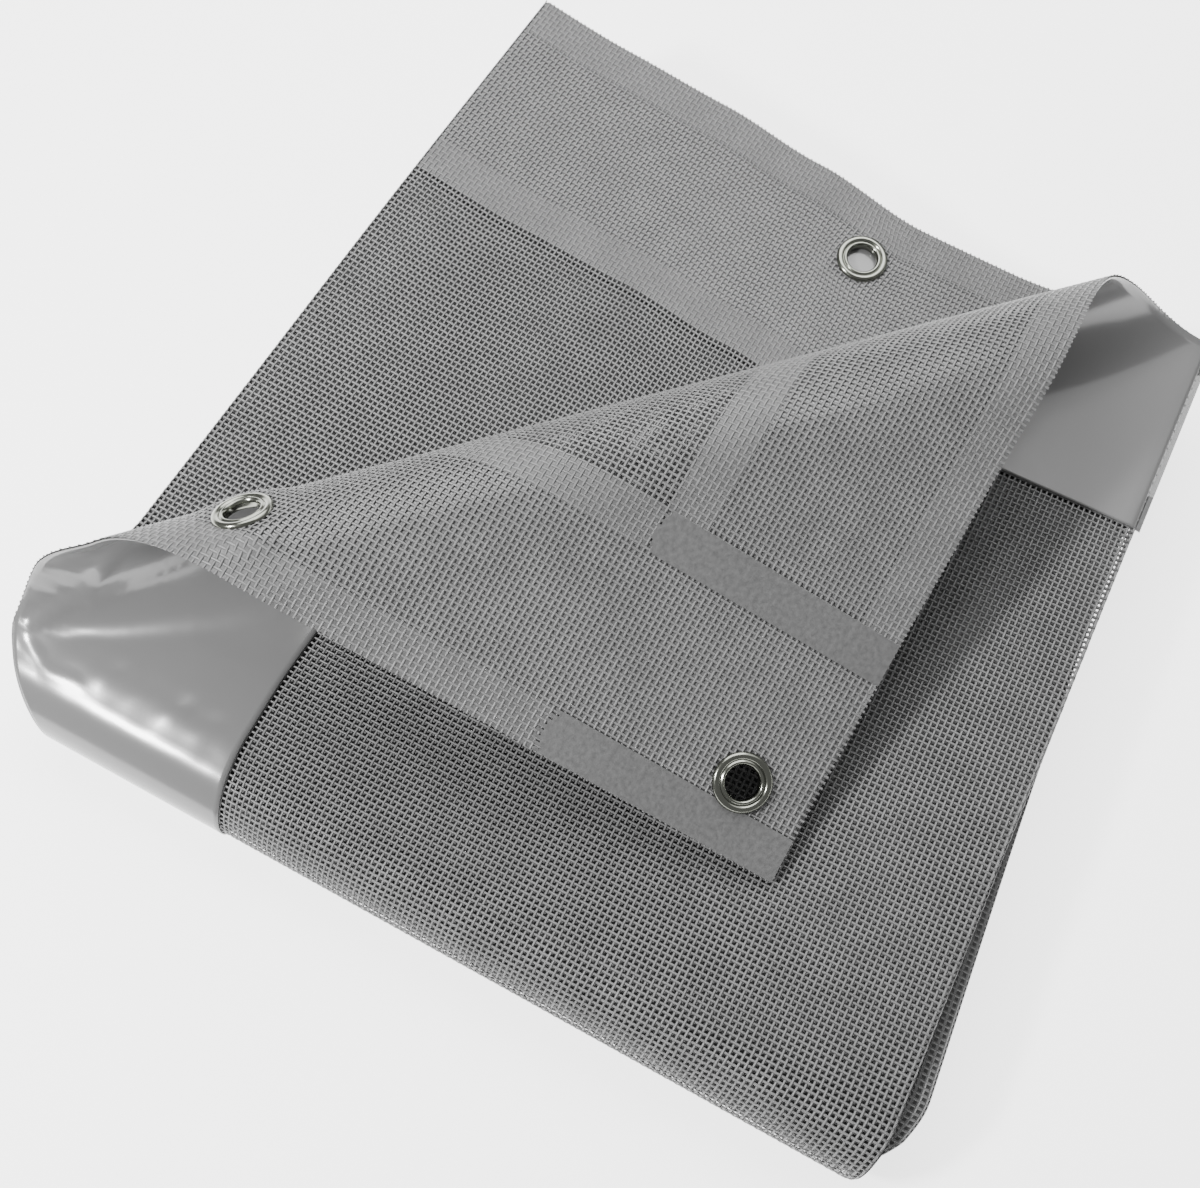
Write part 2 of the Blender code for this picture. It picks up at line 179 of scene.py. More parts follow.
# The studio, in metres and watts
FLOOR_HALF = 6.0
FLOOR_DROP = 0.0004
FLOOR_GLOW = 2.5
ROOM_GLOW = 0.32
LAMP_TARGET = (-0.05, -0.05, 0.05)
LAMPS = (
    {"name": "key", "place": (-0.60, -0.60, 0.88), "size": 0.16, "watts": 19.0},
    {"name": "overhead", "place": (-0.45, 0.75, 1.15), "size": 1.3, "watts": 30.0},
    {"name": "back", "place": (0.35, 0.9, 1.2), "size": 1.0, "watts": 5.0},
)

# The photograph's camera: its picture in pixels, its sensor and its distance in millimetres
PHOTO_WIDTH_PX = 1200
FOCAL_PX = 1288.7
SENSOR_WIDTH = 36.0
CAMERA_DISTANCE = 622.4
CAMERA_AZIMUTH = math.radians(27.57)
CAMERA_ELEVATION = math.radians(67.71)
CAMERA_ROLL = math.radians(0.22)


def pitch_below(ply):
    """The plies' spacing: wider where the border strips face each other."""
    return STRIP_PITCH if ply % 2 else PLAIN_PITCH


DEPTHS = [-sum(pitch_below(k) for k in range(ply)) for ply in range(len(PLIES))]
OUTER_RADIUS = INNER_RADIUS - DEPTHS[-1]
TURN_Y = FRONT_Y + OUTER_RADIUS
TURN_START = BACK_EDGE_Y - TURN_Y
TURN_END = TURN_START + math.pi * OUTER_RADIUS


def section_lengths():
    """The panel's u where each ply's straight part starts and ends."""
    spans = []
    u = 0.0
    near_x = LEFT_EDGE_X
    for k, ply in enumerate(PLIES):
        way = -1 if k % 2 else 1
        last = k == len(PLIES) - 1
        radius = 0.0 if last else pitch_below(k) / 2
        end_x = ply["far_front"] - way * radius
        length = way * (end_x - near_x)
        spans.append((u, u + length))
        u += length + math.pi * radius
        near_x = end_x
    return spans


SPANS = section_lengths()
NET_LENGTH = SPANS[-1][1]
TOP_END = SPANS[1][0] + WOVEN_LAP
SECOND_END = SPANS[2][0] + SECOND_PLY_ENDS["run_on"]
FIRST_FOLD = (SPANS[0][1] + SPANS[1][0]) / 2
SECOND_FOLD = (SPANS[1][1] + SPANS[2][0]) / 2


def ramp(x, ease):
    """Zero up to the start, then bending softly into a straight rise."""
    over = np.clip(x - ease["start"], 0.0, None)
    width = ease["width"]
    return ease["share"] * np.where(over < width, over**2 / (2 * width), over - width / 2)


def beyond_roll(along, back):
    """Distance past the line where the roll starts, from two distances from the corner."""
    plain = ROLL_START - (along + back) / math.sqrt(2)
    return plain - ramp(along, RIGHT_EASE) - ramp(back, FRONT_EASE)


def lift(x, y):
    """How far the stack stands up towards its back left corner, at a place in plan."""
    past = beyond_roll(x - LEFT_EDGE_X, BACK_EDGE_Y - y) - LIFT_START
    return LIFT_HEIGHT * (np.clip(past, 0.0, None) / (LIFT_REACH - LIFT_START)) ** LIFT_POWER


def edge_wave(back, depth):
    """Sideways shift of the left end, eased from one row of the table to the next."""
    radius = OUTER_RADIUS + depth
    turned = np.clip(back - TURN_START, 0.0, math.pi * radius) * OUTER_RADIUS / radius
    place = np.minimum(back, TURN_START) + turned
    shift = np.zeros_like(back)
    for row, following in zip(EDGE_WAVE, EDGE_WAVE[1:]):
        share = np.clip((place - row["back"]) / (following["back"] - row["back"]), 0.0, 1.0)
        shift += (following["shift"] - row["shift"]) * share**2 * (3 - 2 * share)
    return shift * (INNER_SHARE + (1 - INNER_SHARE) * radius / OUTER_RADIUS)


def roll_section(past, radius):
    """Reach and height of the turned-over corner, at a distance past the roll's start."""
    arc = radius * (math.pi + FLAP_SLOPE)
    angle = np.minimum(past, arc) / radius
    reach = radius * np.sin(angle)
    height = radius * (1 - np.cos(angle))
    run = np.clip(past - arc, 0.0, None)
    slope = FLAP_SLOPE - run / FLAP_RADIUS
    reach += FLAP_RADIUS * (np.sin(slope) - math.sin(FLAP_SLOPE))
    height += FLAP_RADIUS * (math.cos(FLAP_SLOPE) - np.cos(slope))
    return reach, height


def top_ply_point(u, v):
    """Place of a point of the top ply, which lies flat and ends in the rolled corner."""
    past = np.clip(beyond_roll(u, v), 0.0, None)
    side = np.clip(0.5 + (v - u) / (2 * math.sqrt(2) * ROLL_START), 0.0, 1.0)
    radius = ROLL_RADIUS_RIGHT + (ROLL_RADIUS_LEFT - ROLL_RADIUS_RIGHT) * side
    reach, height = roll_section(past, radius)
    shift = (past - reach) / math.sqrt(2)
    fade = np.clip(1 - u / EDGE_WAVE_REACH, 0.0, 1.0) ** 2
    return LEFT_EDGE_X + u + shift + edge_wave(v, 0.0) * fade, v + shift, height


def ply_depth(u):
    """Depth below the top ply, when the stack lies flat."""
    depth = np.zeros_like(u)
    for k, (start, end) in enumerate(SPANS):
        depth = np.where(u >= start, DEPTHS[k], depth)
        if k < len(SPANS) - 1:
            loop = pitch_below(k) / 2
            turn = np.clip((u - end) / loop, 0.0, math.pi)
            depth = np.where(u > end, DEPTHS[k] - loop * (1 - np.cos(turn)), depth)
    return depth


def ply_point(u, v):
    """Place in the back-and-forth section: x, distance from the back edge, depth, lift share."""
    x = np.zeros_like(u)
    depth = ply_depth(u)
    share = np.zeros_like(u)
    toward_back = np.clip(1 - v / TURN_START, 0.0, 1.0)
    near_x = np.full_like(u, LEFT_EDGE_X)
    for k, ply in enumerate(PLIES):
        start, end = SPANS[k]
        way = -1 if k % 2 else 1
        last = k == len(PLIES) - 1
        far_x = ply["far_front"] + (ply["far_back"] - ply["far_front"]) * toward_back
        far_x = far_x + ply["bow"] * 4 * toward_back * (1 - toward_back)
        if way < 0:
            far_x = far_x + edge_wave(v, depth)
        if k >= FRONT_CORNER["first_ply"]:
            front = TURN_START + math.pi * (OUTER_RADIUS + DEPTHS[k]) / 2
            near = np.clip(1 - np.abs(v - front) / FRONT_CORNER["reach"], 0.0, 1.0)
            beyond = max(0.0, ply["far_front"] - FRONT_CORNER["x"])
            far_x = far_x - beyond * near**2 * (3 - 2 * near)
        drop = 0.0 if last else ply["lift"] - PLIES[k + 1]["lift"]
        loop = 0.0 if last else pitch_below(k) / 2
        wide = loop + np.clip(drop, 0.0, None) * lift(far_x, BACK_EDGE_Y - v) / 2
        end_x = far_x - way * (0.0 if last else wide)
        on_ply = (u >= start) & ((u <= end) | last)
        x = np.where(on_ply, near_x + (end_x - near_x) * (u - start) / (end - start), x)
        share = np.where(on_ply, ply["lift"], share)
        if last:
            break
        on_fold = (u > end) & (u < SPANS[k + 1][0])
        turn = (u - end) / loop
        next_share = PLIES[k + 1]["lift"]
        x = np.where(on_fold, end_x + way * wide * np.sin(turn), x)
        mixed = ply["lift"] + (next_share - ply["lift"]) * (1 - np.cos(turn)) / 2
        share = np.where(on_fold, mixed, share)
        near_x = end_x
    return x, v, depth, share


def fold_in_half(x, back, depth):
    """Carries a flat stack's point over the front turn: back is measured along the ply."""
    radius = OUTER_RADIUS + depth
    turn = np.clip((back - TURN_START) / radius, 0.0, math.pi)
    past = np.clip(back - TURN_START - math.pi * radius, 0.0, None)
    share = past / LOWER_LEG_TUCK["length"]
    past = past - LOWER_LEG_TUCK["shift"] * share**2
    inward = LOWER_LEG_TUCK["side"] * share ** LOWER_LEG_TUCK["side_power"]
    inward = inward + LOWER_LEG_TUCK["turn_side"] * turn / math.pi
    x = x - inward * np.clip(x / PLIES[0]["far_front"], 0.0, 1.0)
    on_top = back < TURN_START
    y = np.where(on_top, BACK_EDGE_Y - back, TURN_Y - radius * np.sin(turn) + past)
    z = np.where(on_top, depth, -OUTER_RADIUS + radius * np.cos(turn))
    near_front = np.clip((TURN_Y - y) / FRONT_DROOP["length"] + 1, 0.0, None) ** 2
    above = z + 2 * OUTER_RADIUS
    z = z - above * FRONT_DROOP["share"] * near_front
    y = y + FRONT_DROOP["tuck"] * near_front
    return np.stack([x, y, z], axis=-1)


def back_sway(x, back):
    """How far the lower plies' back edge strays from straight, dying out towards the front."""
    shift = np.full_like(x, BACK_SWAY[0]["shift"])
    for row, following in zip(BACK_SWAY, BACK_SWAY[1:]):
        share = np.clip((x - row["x"]) / (following["x"] - row["x"]), 0.0, 1.0)
        shift += (following["shift"] - row["shift"]) * share**2 * (3 - 2 * share)
    reach = SWAY_REACH["none"] - SWAY_REACH["full"]
    fade = np.clip((SWAY_REACH["none"] - back) / reach, 0.0, 1.0)
    return shift * fade**2 * (3 - 2 * fade)


def smooth_point(u, v):
    """Place of the panel's middle surface, before it is flattened round its eyelets."""
    x, back, depth, share = ply_point(u, v)
    back = back - back_sway(x, back)
    place = fold_in_half(x, back, depth)
    on_top = np.where(back < TURN_START, share, 0.0)
    place[..., 2] += on_top * lift(place[..., 0], place[..., 1])
    top_x, top_back, top_height = top_ply_point(u, v)
    rolled = fold_in_half(top_x, top_back, np.zeros_like(u))
    rolled[..., 2] += top_height
    on_top_ply = (u <= SPANS[0][1])[..., None]
    return np.where(on_top_ply, rolled, place)


def frame_at(point_of, u, v, step=0.05):
    """Point, the two directions along the panel and the normal of its plain face."""
    along = point_of(u + step, v) - point_of(u - step, v)
    down = point_of(u, v + step) - point_of(u, v - step)
    along /= np.linalg.norm(along, axis=-1, keepdims=True)
    normal = np.cross(along, down)
    normal /= np.linalg.norm(normal, axis=-1, keepdims=True)
    return point_of(u, v), along, np.cross(normal, along), normal


def panel_point(u, v):
    """Place of the panel's middle surface, flat where an eyelet clamps it."""
    place = smooth_point(u, v)
    for row in EYELETS:
        centre_u, centre_v = np.array([row["u"]]), np.array([row["v"]])
        middle, along, down, _ = frame_at(smooth_point, centre_u, centre_v)
        du, dv = u - row["u"], v - row["v"]
        flat = middle[0] + du[..., None] * along[0] + dv[..., None] * down[0]
        away = np.hypot(du, dv) - FLAT_ROUND_EYELET
        share = np.clip(1 - away / (EASED_ROUND_EYELET - FLAT_ROUND_EYELET), 0.0, 1.0)
        share = (share**2 * (3 - 2 * share))[..., None]
        place = place * (1 - share) + flat * share
    return place


def distance_to_route(u, v, route):
    """Distance on the flat panel from a line through a few points."""
    nearest = np.full_like(u, np.inf)
    for (u0, v0), (u1, v1) in zip(route, route[1:]):
        run_u, run_v = u1 - u0, v1 - v0
        share = ((u - u0) * run_u + (v - v0) * run_v) / (run_u**2 + run_v**2)
        share = np.clip(share, 0.0, 1.0)
        nearest = np.minimum(nearest, np.hypot(u - u0 - share * run_u, v - v0 - share * run_v))
    return nearest


def straying_wave(across, along, wave):
    """A wave whose crests run along one way and stray from straight as they go."""
    stray = wave["stray"] * np.sin(along / wave["stray_length"] + wave["stray_start"])
    return np.sin(across / wave["length"] + stray)


def relief(u, v):
    """Rise of the top ply's small creases and waves, towards the strips' face."""
    rise = np.zeros_like(u)
    for crease in CREASES:
        away = distance_to_route(u, v, crease["route"]) / crease["width"]
        rise += crease["rise"] * np.exp(-(away**2))
    on_turn = (v - TURN_BULGE["back"]) / TURN_BULGE["width"]
    broad = np.sin(u / BULGE_WAVES["broad"] + BULGE_WAVES["start"])
    fine = np.sin(u / BULGE_WAVES["fine"] + v / BULGE_WAVES["skew"])
    uneven = 1 + BULGE_WAVES["share"] * (broad + fine)
    rise += TURN_BULGE["rise"] * uneven * np.exp(-(on_turn**2))
    off_u = (u - PUCKERS["u"]) / PUCKERS["reach_u"]
    off_v = (v - PUCKERS["v"]) / PUCKERS["reach_v"]
    stray = PUCKER_STRAY["share"] * np.sin(u / PUCKER_STRAY["length"])
    rise += PUCKERS["rise"] * np.exp(-(off_u**2) - off_v**2) * np.sin(v / PUCKERS["pitch"] + stray)
    rise *= np.clip((STRIP_WIDTH + CREASE_FADE["past_strip"] - u) / CREASE_FADE["width"], 0.0, 1.0)
    past = beyond_roll(u, v) - FLAP_WAVES["start"]
    on_flap = np.clip(past / FLAP_WAVES["width"], 0.0, 1.0) * (u < SPANS[0][1])
    waves = straying_wave(u, v, FLAP_ALONG) * straying_wave(v, u, FLAP_DOWN)
    return rise + FLAP_WAVES["rise"] * waves * on_flap


def dressed_point(u, v):
    """Place of the panel's middle surface with its small creases."""
    place, _, _, normal = frame_at(panel_point, u, v)
    return place - normal * relief(u, v)[..., None]


def in_frame(points):
    """Millimetres round the stack to metres in the part's frame."""
    return (points - np.array(FRAME_ORIGIN)) * MM


def spaced(low, high, step):
    """Values from low to high, evenly spaced by about the step."""
    return np.linspace(low, high, max(2, int(math.ceil((high - low) / step)) + 1))


def away_from_eyelets(u, v):
    """Distance from the nearest eyelet's centre, on the flat panel."""
    return np.min([np.hypot(u - row["u"], v - row["v"]) for row in EYELETS], axis=0)


def add(tree, kind, inputs=None, **settings):
    """Adds one node to a tree, with its settings and its input values or links."""
    node = tree.nodes.new(kind)
    for name, value in settings.items():
        setattr(node, name, value)
    for name, value in (inputs or {}).items():
        if isinstance(value, bpy.types.NodeSocket):
            tree.links.new(value, node.inputs[name])
        else:
            node.inputs[name].default_value = value
    return node


def linear(hex_colour):
    """An sRGB hex colour as the linear colour that a shader takes."""
    parts = [int(hex_colour[i : i + 2], 16) / 255 for i in (1, 3, 5)]
    return [c / 12.92 if c < 0.04045 else ((c + 0.055) / 1.055) ** 2.4 for c in parts] + [1.0]


def new_finish(name):
    """A material with its shader and its output, and nothing else."""
    finish = bpy.data.materials.new(name)
    finish.use_nodes = True
    tree = finish.node_tree
    tree.nodes.clear()
    shader = add(tree, "ShaderNodeBsdfPrincipled")
    add(tree, "ShaderNodeOutputMaterial", {"Surface": shader.outputs["BSDF"]})
    return finish, tree, shader


def object_noise(tree, scale, detail):
    """A noise that lies still on the object, with its scale in turns per metre."""
    place = add(tree, "ShaderNodeTexCoord")
    inputs = {"Vector": place.outputs["Object"], "Scale": scale, "Detail": detail}
    return add(tree, "ShaderNodeTexNoise", inputs).outputs["Fac"]


def tone(tree, shader, factor, dark, light):
    """Lets the base colour wander between two tones."""
    tones = add(tree, "ShaderNodeValToRGB", {"Fac": factor})
    for stop, position, colour in zip(tones.color_ramp.elements, TONE_STOPS, (dark, light)):
        stop.position = position
        stop.color = linear(colour)
    tree.links.new(tones.outputs["Color"], shader.inputs["Base Color"])


def gloss(tree, shader, factor, low, high):
    """Lets the roughness wander between two values."""
    wander = add(tree, "ShaderNodeMapRange", {"Value": factor, "To Min": low, "To Max": high})
    tree.links.new(wander.outputs["Result"], shader.inputs["Roughness"])


def fine_relief(tree, shader, height, distance, strength):
    """Gives the surface a relief too fine to model, with its depth in metres."""
    inputs = {"Height": height, "Distance": distance, "Strength": strength}
    bump = add(tree, "ShaderNodeBump", inputs)
    tree.links.new(bump.outputs["Normal"], shader.inputs["Normal"])


def yarn_finish():
    """PVC-coated polyester yarn: a dip-coated thread has a soft satin shine on its crowns."""
    finish, tree, shader = new_finish("PVC-coated polyester yarn, woven")
    tone(tree, shader, object_noise(tree, 60.0, 4.0), *YARN_TONES)
    shader.inputs["Roughness"].default_value = 0.36
    shader.inputs["IOR"].default_value = PVC_IOR
    return finish


def strip_finish():
    """Calendered PVC sheet: smooth and glossy, with a faint uneven relief."""
    finish, tree, shader = new_finish("Calendered PVC strip, glossy")
    shader.inputs["Base Color"].default_value = linear(STRIP_COLOUR)
    shader.inputs["IOR"].default_value = PVC_IOR
    shader.inputs["Coat Weight"].default_value = 0.35
    shader.inputs["Coat Roughness"].default_value = 0.12
    gloss(tree, shader, object_noise(tree, 22.0, 3.0), 0.17, 0.26)
    fine_relief(tree, shader, object_noise(tree, 35.0, 2.0), 0.0012, 0.25)
    return finish


def weld_finish():
    """The yarns and the strip melted together under the welding bar: matt, a little mottled."""
    finish, tree, shader = new_finish("Welded PVC band")
    shader.inputs["Roughness"].default_value = 0.5
    shader.inputs["IOR"].default_value = PVC_IOR
    place = add(tree, "ShaderNodeUVMap", uv_map="panel")
    inputs = {"Vector": place.outputs["UV"], "Scale": (WELD_GRAIN, WELD_GRAIN, 1.0)}
    mapped = add(tree, "ShaderNodeMapping", inputs)
    inputs = {"Vector": mapped.outputs["Vector"], "Scale": 1.2, "Detail": 2.0}
    grain = add(tree, "ShaderNodeTexNoise", inputs).outputs["Fac"]
    tone(tree, shader, grain, *WELD_TONES)
    fine_relief(tree, shader, grain, 0.0006, 0.5)
    return finish


def drawn_weave_finish():
    """The same coated weave on the plies inside the stack, drawn by its pitch, with painted shade in its
    holes.
    """
    finish, tree, shader = new_finish("PVC-coated polyester mesh, inner plies")
    place = add(tree, "ShaderNodeUVMap", uv_map="panel")
    split = add(tree, "ShaderNodeSeparateXYZ", {"Vector": place.outputs["UV"]})

    def maths(operation, *values):
        inputs = dict(enumerate(values))
        return add(tree, "ShaderNodeMath", inputs, operation=operation).outputs[0]

    half_open = (WEAVE_PITCH - YARN_WIDTH) / WEAVE_PITCH / 2
    from_middle = []
    for axis in ("X", "Y"):
        turns = maths("MULTIPLY", split.outputs[axis], 1 / (WEAVE_PITCH * MM))
        from_middle.append(maths("ABSOLUTE", maths("SUBTRACT", maths("FRACT", turns), 0.5)))
    outer = maths("MAXIMUM", *from_middle)
    on_yarn = maths("GREATER_THAN", outer, half_open)
    # the holes take a dark colour, painted shade for the shadowed layers below, and the yarns their own
    # colour
    colours = add(tree, "ShaderNodeMix", {"Factor": on_yarn}, data_type="RGBA")
    colours.inputs["A"].default_value = linear(INNER_HOLE_SHADE)
    colours.inputs["B"].default_value = linear(INNER_YARN_COLOUR)
    tree.links.new(colours.outputs["Result"], shader.inputs["Base Color"])
    inputs = {"Value": outer, "From Min": half_open, "From Max": 0.5}
    rise = add(tree, "ShaderNodeMapRange", inputs)
    fine_relief(tree, shader, rise.outputs["Result"], 0.0005, 1.0)
    shader.inputs["Roughness"].default_value = 0.4
    shader.inputs["IOR"].default_value = PVC_IOR
    return finish


def nickel_finish():
    """Nickel-plated steel, stamped and tumbled: a bright mirror with fine wear."""
    finish, tree, shader = new_finish("Nickel-plated stamped steel")
    shader.inputs["Base Color"].default_value = linear(NICKEL_COLOUR)
    shader.inputs["Metallic"].default_value = 1.0
    gloss(tree, shader, object_noise(tree, 900.0, 4.0), 0.12, 0.26)
    return finish


def link_piece(name, mesh, finish):
    """Puts a finished mesh in the scene, at the origin."""
    mesh.materials.clear()
    mesh.materials.append(finish)
    piece = bpy.data.objects.new(name, mesh)
    bpy.context.scene.collection.objects.link(piece)
    return piece


def panel_mesh(name, us, vs, off, keep=None):
    """A grid of the panel at a distance from its middle, with the panel's own UV map."""
    grid_u, grid_v = np.meshgrid(us, vs, indexing="ij")
    flat_u, flat_v = grid_u.ravel(), grid_v.ravel()
    place, _, _, normal = frame_at(dressed_point, flat_u, flat_v)
    points = in_frame(place + normal * off)
    rows = len(vs)
    i, j = np.meshgrid(np.arange(len(us) - 1), np.arange(rows - 1), indexing="ij")
    first = (i * rows + j).ravel()
    quads = np.stack([first, first + rows, first + rows + 1, first + 1], axis=1)
    if keep is not None:
        middle_u = flat_u[quads].mean(axis=1)
        middle_v = flat_v[quads].mean(axis=1)
        quads = quads[keep(middle_u, middle_v)]
    used, quads = np.unique(quads, return_inverse=True)
    quads = quads.reshape(-1, 4)
    mesh = bpy.data.meshes.new(name)
    mesh.from_pydata(points[used].tolist(), [], quads.tolist())
    layer = mesh.uv_layers.new(name="panel")
    corners = np.empty(len(mesh.loops), np.int32)
    mesh.loops.foreach_get("vertex_index", corners)
    uv = np.stack([flat_u[used], flat_v[used]], axis=1)[corners] * MM
    layer.data.foreach_set("uv", uv.astype(np.float32).ravel())
    out = mesh.attributes.new("face out", "FLOAT_VECTOR", "POINT")
    out.data.foreach_set("vector", normal[used].astype(np.float32).ravel())
    mesh.shade_smooth()
    return mesh


def weave_tree():
    """Yarns over and under each other on a flat grid, carried onto a folded sheet by its UV map."""
    tree = bpy.data.node_groups.new("Plain weave on a folded sheet", "GeometryNodeTree")
    sockets = tree.interface
    sockets.new_socket(name="Geometry", in_out="INPUT", socket_type="NodeSocketGeometry")
    for name, kind in (
        ("Folded sheet", "NodeSocketObject"),
        ("Start", "NodeSocketVector"),
        ("Columns", "NodeSocketInt"),
        ("Rows", "NodeSocketInt"),
        ("First column", "NodeSocketInt"),
        ("First row", "NodeSocketInt"),
        ("Pitch", "NodeSocketFloat"),
        ("Yarn width", "NodeSocketFloat"),
        ("Yarn thickness", "NodeSocketFloat"),
        ("Crimp", "NodeSocketFloat"),
        ("Waver", "NodeSocketFloat"),
        ("Finish", "NodeSocketMaterial"),
    ):
        sockets.new_socket(name=name, in_out="INPUT", socket_type=kind)
    sockets.new_socket(name="Cloth", in_out="OUTPUT", socket_type="NodeSocketGeometry")
    given = add(tree, "NodeGroupInput").outputs

    def computed(a, b, operation):
        return add(tree, "ShaderNodeMath", {0: a, 1: b}, operation=operation).outputs[0]

    def alternating(index, first):
        """One and minus one by turns."""
        odd = computed(computed(index, first, "ADD"), 2.0, "MODULO")
        return computed(1.0, computed(odd, 2.0, "MULTIPLY"), "SUBTRACT")

    half_width = computed(given["Yarn width"], 0.5, "MULTIPLY")
    half_thick = computed(given["Yarn thickness"], 0.5, "MULTIPLY")
    circle = add(tree, "GeometryNodeCurvePrimitiveCircle", {"Resolution": 4, "Radius": 1.0})
    section_size = add(tree, "ShaderNodeCombineXYZ", {0: half_width, 1: half_thick, 2: 1.0})
    section = add(
        tree,
        "GeometryNodeTransform",
        {"Geometry": circle.outputs["Curve"], "Scale": section_size.outputs[0]},
    )

    sets = []
    for along, count, across, first, sign in (
        ("X", "Columns", "Rows", "First row", 1.0),
        ("Y", "Rows", "Columns", "First column", -1.0),
    ):
        crossings = computed(given[count], 1.0, "ADD")
        step_along = add(tree, "ShaderNodeCombineXYZ", {along: given["Pitch"]})
        line = add(
            tree,
            "GeometryNodeMeshLine",
            {"Count": crossings, "Start Location": given["Start"], "Offset": step_along.outputs[0]},
            mode="OFFSET",
        )
        index = add(tree, "GeometryNodeInputIndex").outputs[0]
        height = computed(given["Crimp"], alternating(index, 0.0), "MULTIPLY")
        signed = computed(height, sign, "MULTIPLY")
        rise = add(tree, "ShaderNodeCombineXYZ", {"Z": signed})
        yarn = add(
            tree,
            "GeometryNodeSetPosition",
            {"Geometry": line.outputs["Mesh"], "Offset": rise.outputs[0]},
        )
        other = "Y" if along == "X" else "X"
        step_across = add(tree, "ShaderNodeCombineXYZ", {other: given["Pitch"]})
        places = computed(computed(given[across], 1.0, "ADD"), given[first], "SUBTRACT")
        begin = add(
            tree,
            "ShaderNodeCombineXYZ",
            {other: computed(given["Pitch"], given[first], "MULTIPLY")},
        )
        spread = add(
            tree,
            "GeometryNodeMeshLine",
            {"Count": places, "Start Location": begin.outputs[0], "Offset": step_across.outputs[0]},
            mode="OFFSET",
        )
        number = add(tree, "GeometryNodeInputIndex").outputs[0]
        flip = add(
            tree,
            "ShaderNodeCombineXYZ",
            {"X": 1.0, "Y": 1.0, "Z": alternating(number, given[first])},
        )
        yarns = add(
            tree,
            "GeometryNodeInstanceOnPoints",
            {
                "Points": spread.outputs["Mesh"],
                "Instance": yarn.outputs["Geometry"],
                "Scale": flip.outputs[0],
            },
        )
        real = add(tree, "GeometryNodeRealizeInstances", {"Geometry": yarns.outputs["Instances"]})
        paths = add(tree, "GeometryNodeMeshToCurve", {"Mesh": real.outputs["Geometry"]})
        upright = add(tree, "GeometryNodeSetCurveNormal", {"Curve": paths.outputs["Curve"]})
        upright.mode = "Z_UP"
        tubes = add(
            tree,
            "GeometryNodeCurveToMesh",
            {"Curve": upright.outputs["Curve"], "Profile Curve": section.outputs["Geometry"]},
        )
        sets.append(tubes.outputs["Mesh"])
    cloth = add(tree, "GeometryNodeJoinGeometry")
    for tubes in sets:
        tree.links.new(tubes, cloth.inputs[0])

    place = add(tree, "GeometryNodeInputPosition").outputs[0]
    unevenness = add(tree, "ShaderNodeTexNoise", {"Vector": place, "Scale": 90.0, "Detail": 2.0})
    centred = add(
        tree,
        "ShaderNodeVectorMath",
        {0: unevenness.outputs["Color"], 1: (0.5, 0.5, 0.5)},
        operation="SUBTRACT",
    )
    in_plane = add(
        tree,
        "ShaderNodeVectorMath",
        {0: centred.outputs[0], 1: (1.0, 1.0, 0.0)},
        operation="MULTIPLY",
    )
    waver = add(
        tree,
        "ShaderNodeVectorMath",
        {0: in_plane.outputs[0], "Scale": given["Waver"]},
        operation="SCALE",
    )
    uneven = add(
        tree,
        "GeometryNodeSetPosition",
        {"Geometry": cloth.outputs[0], "Offset": waver.outputs[0]},
    )

    folded = add(tree, "GeometryNodeObjectInfo", {"Object": given["Folded sheet"]})
    panel = add(tree, "GeometryNodeInputNamedAttribute", {"Name": "panel"}, data_type="FLOAT_VECTOR")
    out = add(tree, "GeometryNodeInputNamedAttribute", {"Name": "face out"}, data_type="FLOAT_VECTOR")
    samples = []
    for value in (place, out.outputs["Attribute"]):
        samples.append(
            add(
                tree,
                "GeometryNodeSampleUVSurface",
                {
                    "Mesh": folded.outputs["Geometry"],
                    "Value": value,
                    "Source UV Map": panel.outputs["Attribute"],
                    "Sample UV": place,
                },
                data_type="FLOAT_VECTOR",
            )
        )
    flat = add(tree, "ShaderNodeSeparateXYZ", {0: place})
    proud = add(
        tree,
        "ShaderNodeVectorMath",
        {0: samples[1].outputs["Value"], "Scale": flat.outputs["Z"]},
        operation="SCALE",
    )
    target = add(
        tree,
        "ShaderNodeVectorMath",
        {0: samples[0].outputs["Value"], 1: proud.outputs[0]},
        operation="ADD",
    )
    off_sheet = add(tree, "FunctionNodeBooleanMath", {0: samples[0].outputs["Is Valid"]}, operation="NOT")
    trimmed = add(
        tree,
        "GeometryNodeDeleteGeometry",
        {"Geometry": uneven.outputs["Geometry"], "Selection": off_sheet.outputs[0]},
        domain="POINT",
    )
    placed = add(
        tree,
        "GeometryNodeSetPosition",
        {"Geometry": trimmed.outputs["Geometry"], "Position": target.outputs[0]},
    )
    smooth = add(tree, "GeometryNodeSetShadeSmooth", {"Geometry": placed.outputs["Geometry"]})
    whole = add(tree, "GeometryNodeRealizeInstances", {"Geometry": smooth.outputs["Geometry"]})
    painted = add(
        tree,
        "GeometryNodeSetMaterial",
        {"Geometry": whole.outputs["Geometry"], "Material": given["Finish"]},
    )
    add(tree, "NodeGroupOutput", {"Cloth": painted.outputs["Geometry"]})
    return tree


